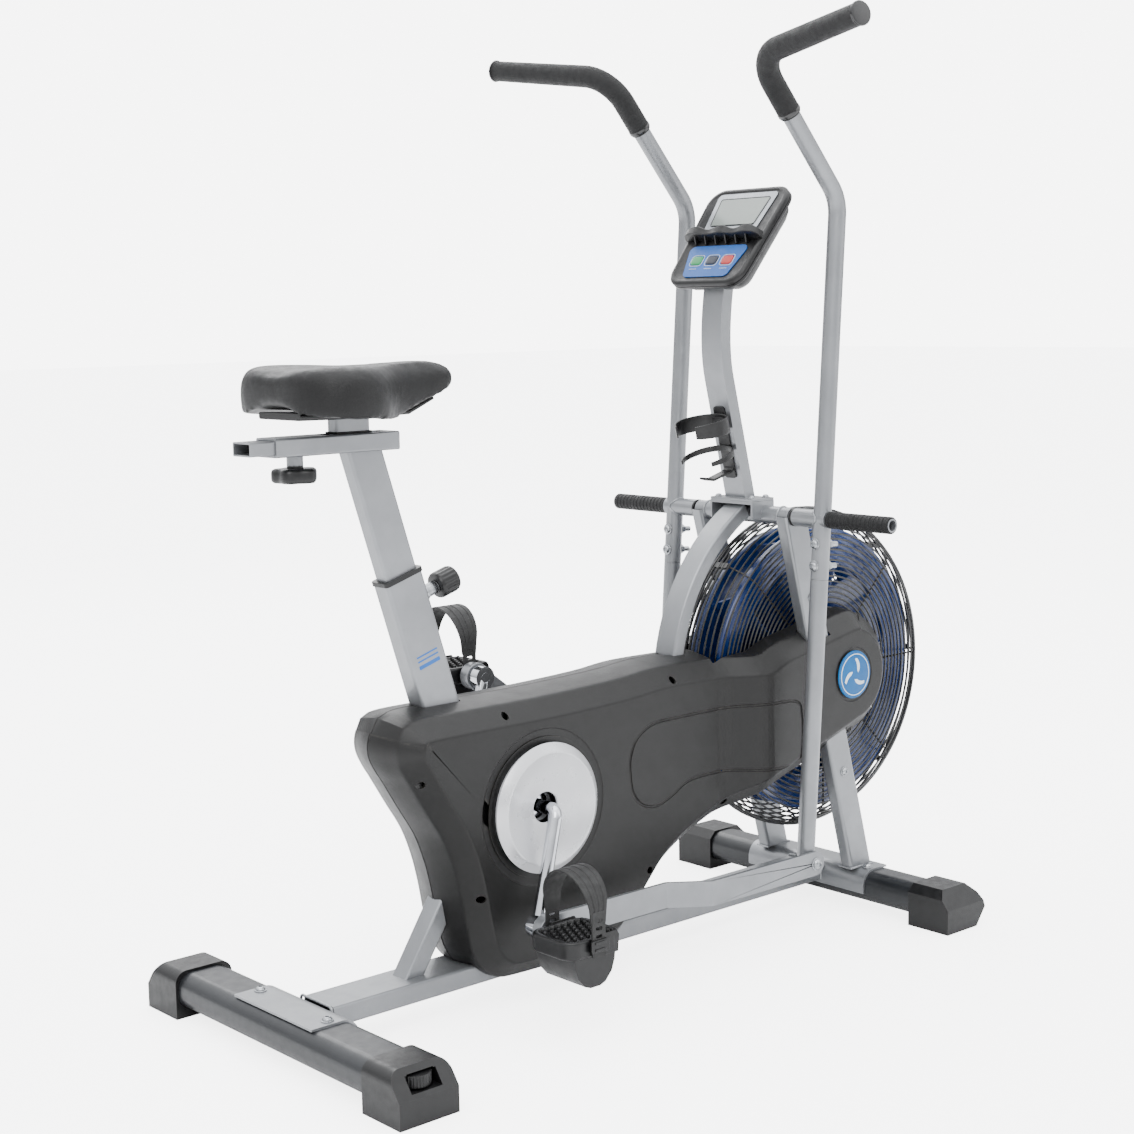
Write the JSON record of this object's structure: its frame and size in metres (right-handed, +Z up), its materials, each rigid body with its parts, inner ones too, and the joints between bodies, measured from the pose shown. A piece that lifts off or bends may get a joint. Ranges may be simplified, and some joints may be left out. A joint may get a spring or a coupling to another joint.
{
  "type": "air bike",
  "caption": "Fan-resisted exercise bike with a wire-guarded fan, swinging handlebars linked to the pedals, a sliding saddle and a slim console.",
  "frame": {"origin": "on the floor, on the centre plane, midway between the rear feet and the front of the fan guard", "axes": "+X forward towards the fan, +Y to the rider's left, +Z up"},
  "size_m": [1.225, 0.723, 1.2839],
  "materials": {
    "frame_paint": "satin metallic grey powder coat",
    "dark_paint": "satin charcoal powder coat",
    "black_plastic": "fine textured black moulding",
    "disc_plastic": "silver painted plastic",
    "badge_plastic": "cyan blue insert",
    "bright_steel": "polished chrome plate",
    "zinc": "zinc plated",
    "saddle_skin": "black imitation leather with a fine grain",
    "foam": "matte black foam",
    "belt_rubber": "ribbed black rubber",
    "fan_plastic": "glossy dark blue moulding",
    "lcd": "grey-green display window",
    "green_key": "green button",
    "dark_key": "dark button",
    "red_key": "red button"
  },
  "bodies": {
    "frame": {"main_frame": "frame_paint", "rear_stabilizer": "dark_paint", "front_stabilizer": "dark_paint", "rear_cap_right": "black_plastic", "rear_cap_left": "black_plastic", "front_cap_right": "black_plastic", "front_cap_left": "black_plastic", "frame_bolts": "zinc", "sleeve_collar": "black_plastic", "cover_right": "black_plastic", "cover_left": "black_plastic", "crank_discs": "disc_plastic", "badge_right": "badge_plastic", "bottom_bracket_cups": "zinc", "drive_belt": "belt_rubber", "peg_sleeves": "foam", "axle_bushings": "black_plastic", "fan_axle": "zinc", "guard_right": "dark_paint", "guard_left": "dark_paint", "console_mast": "frame_paint", "console_back": "black_plastic", "console_front": "black_plastic", "display_lens": "lcd", "phone_ledge": "black_plastic", "bottle_holder": "black_plastic"},
    "crankset": {"crank": "bright_steel", "drive_pulley": "black_plastic", "pedal_axles": "bright_steel"},
    "fan": {"fan_wheel": "fan_plastic", "fan_pulley": "black_plastic"},
    "pedal_right_body": {"pedal_right": "black_plastic", "strap_right": "black_plastic"},
    "pedal_left_body": {"pedal_left": "black_plastic", "strap_left": "black_plastic"},
    "link_right_body": {"link_right": "frame_paint", "link_bolt_right": "zinc"},
    "link_left_body": {"link_left": "frame_paint", "link_bolt_left": "zinc"},
    "arm_right_body": {"arm_right": "frame_paint", "lever_right": "frame_paint", "arm_bolts_right": "zinc", "grip_right": "foam"},
    "arm_left_body": {"arm_left": "frame_paint", "lever_left": "frame_paint", "arm_bolts_left": "zinc", "grip_left": "foam"},
    "post": {"seat_post": "frame_paint"},
    "seat": {"seat_slider": "frame_paint", "saddle": "saddle_skin"},
    "rail_knob": {"slider_knob": "black_plastic"},
    "pin_knob": {"post_knob": "black_plastic"},
    "foot_right": {"levelling_foot_right": "black_plastic"},
    "foot_left": {"levelling_foot_left": "black_plastic"},
    "wheel_right": {"transport_wheel_right": "belt_rubber"},
    "wheel_left": {"transport_wheel_left": "belt_rubber"},
    "start_button": {"button_start": "green_key"},
    "mode_button": {"button_mode": "dark_key"},
    "reset_button": {"button_reset": "red_key"}
  },
  "joints": [
    {"name": "crank_spin", "type": "hinge", "parent": "frame", "child": "crankset", "pos_m": [-0.214, 0, 0.263], "axis": [0, 1, 0], "continuous": true},
    {"name": "fan_spin", "type": "hinge", "parent": "frame", "child": "fan", "pos_m": [0.3685, 0, 0.364], "axis": [0, 1, 0], "continuous": true},
    {"name": "pedal_right_spin", "type": "hinge", "parent": "crankset", "child": "pedal_right_body", "pos_m": [-0.26216, -0.184, 0.12094], "axis": [0, 1, 0], "continuous": true},
    {"name": "pedal_left_spin", "type": "hinge", "parent": "crankset", "child": "pedal_left_body", "pos_m": [-0.16584, 0.184, 0.40506], "axis": [0, 1, 0], "continuous": true},
    {"name": "link_right_turn", "type": "hinge", "parent": "crankset", "child": "link_right_body", "pos_m": [-0.26216, -0.13, 0.12094], "axis": [0, 1, 0], "continuous": true},
    {"name": "link_left_turn", "type": "hinge", "parent": "crankset", "child": "link_left_body", "pos_m": [-0.16584, 0.13, 0.40506], "axis": [0, 1, 0], "continuous": true},
    {"name": "arm_right_swing", "type": "hinge", "parent": "frame", "child": "arm_right_body", "pos_m": [0.248, -0.1485, 0.609], "axis": [0, 1, 0], "range_deg": [-18.4, 18.4]},
    {"name": "arm_left_swing", "type": "hinge", "parent": "frame", "child": "arm_left_body", "pos_m": [0.248, 0.1485, 0.609], "axis": [0, 1, 0], "range_deg": [-18.4, 18.4]},
    {"name": "seat_height", "type": "slide", "parent": "frame", "child": "post", "axis": [-0.299, 0, 0.9542], "range_m": [-0.1, 0.075]},
    {"name": "seat_reach", "type": "slide", "parent": "post", "child": "seat", "axis": [1, 0, 0], "range_m": [-0.015, 0.025]},
    {"name": "rail_knob_turn", "type": "hinge", "parent": "post", "child": "rail_knob", "pos_m": [-0.536, 0, 0.72], "axis": [0, 0, 1], "continuous": true},
    {"name": "pin_knob_pull", "type": "slide", "parent": "frame", "child": "pin_knob", "axis": [0.9542, 0, 0.299], "range_m": [0, 0.012]},
    {"name": "foot_right_turn", "type": "hinge", "parent": "frame", "child": "foot_right", "pos_m": [-0.57, -0.252, 0.02], "axis": [0, 0, 1], "continuous": true},
    {"name": "foot_left_turn", "type": "hinge", "parent": "frame", "child": "foot_left", "pos_m": [-0.57, 0.252, 0.02], "axis": [0, 0, 1], "continuous": true},
    {"name": "wheel_right_roll", "type": "hinge", "parent": "frame", "child": "wheel_right", "pos_m": [0.4405, -0.256, 0.024], "axis": [0, 1, 0], "continuous": true},
    {"name": "wheel_left_roll", "type": "hinge", "parent": "frame", "child": "wheel_left", "pos_m": [0.4405, 0.256, 0.024], "axis": [0, 1, 0], "continuous": true},
    {"name": "start_press", "type": "slide", "parent": "frame", "child": "start_button", "axis": [0.7771, 0, -0.6293], "range_m": [0, 0.001]},
    {"name": "mode_press", "type": "slide", "parent": "frame", "child": "mode_button", "axis": [0.7771, 0, -0.6293], "range_m": [0, 0.001]},
    {"name": "reset_press", "type": "slide", "parent": "frame", "child": "reset_button", "axis": [0.7771, 0, -0.6293], "range_m": [0, 0.001]}
  ],
  "couplings": [
    {"joint": "fan_spin", "follows": "crank_spin", "ratio": 4},
    {"joint": "link_right_turn", "follows": "crank_spin", "ratio": -1},
    {"joint": "link_left_turn", "follows": "crank_spin", "ratio": -1},
    {"joint": "arm_left_swing", "follows": "arm_right_swing", "ratio": -1}
  ]
}
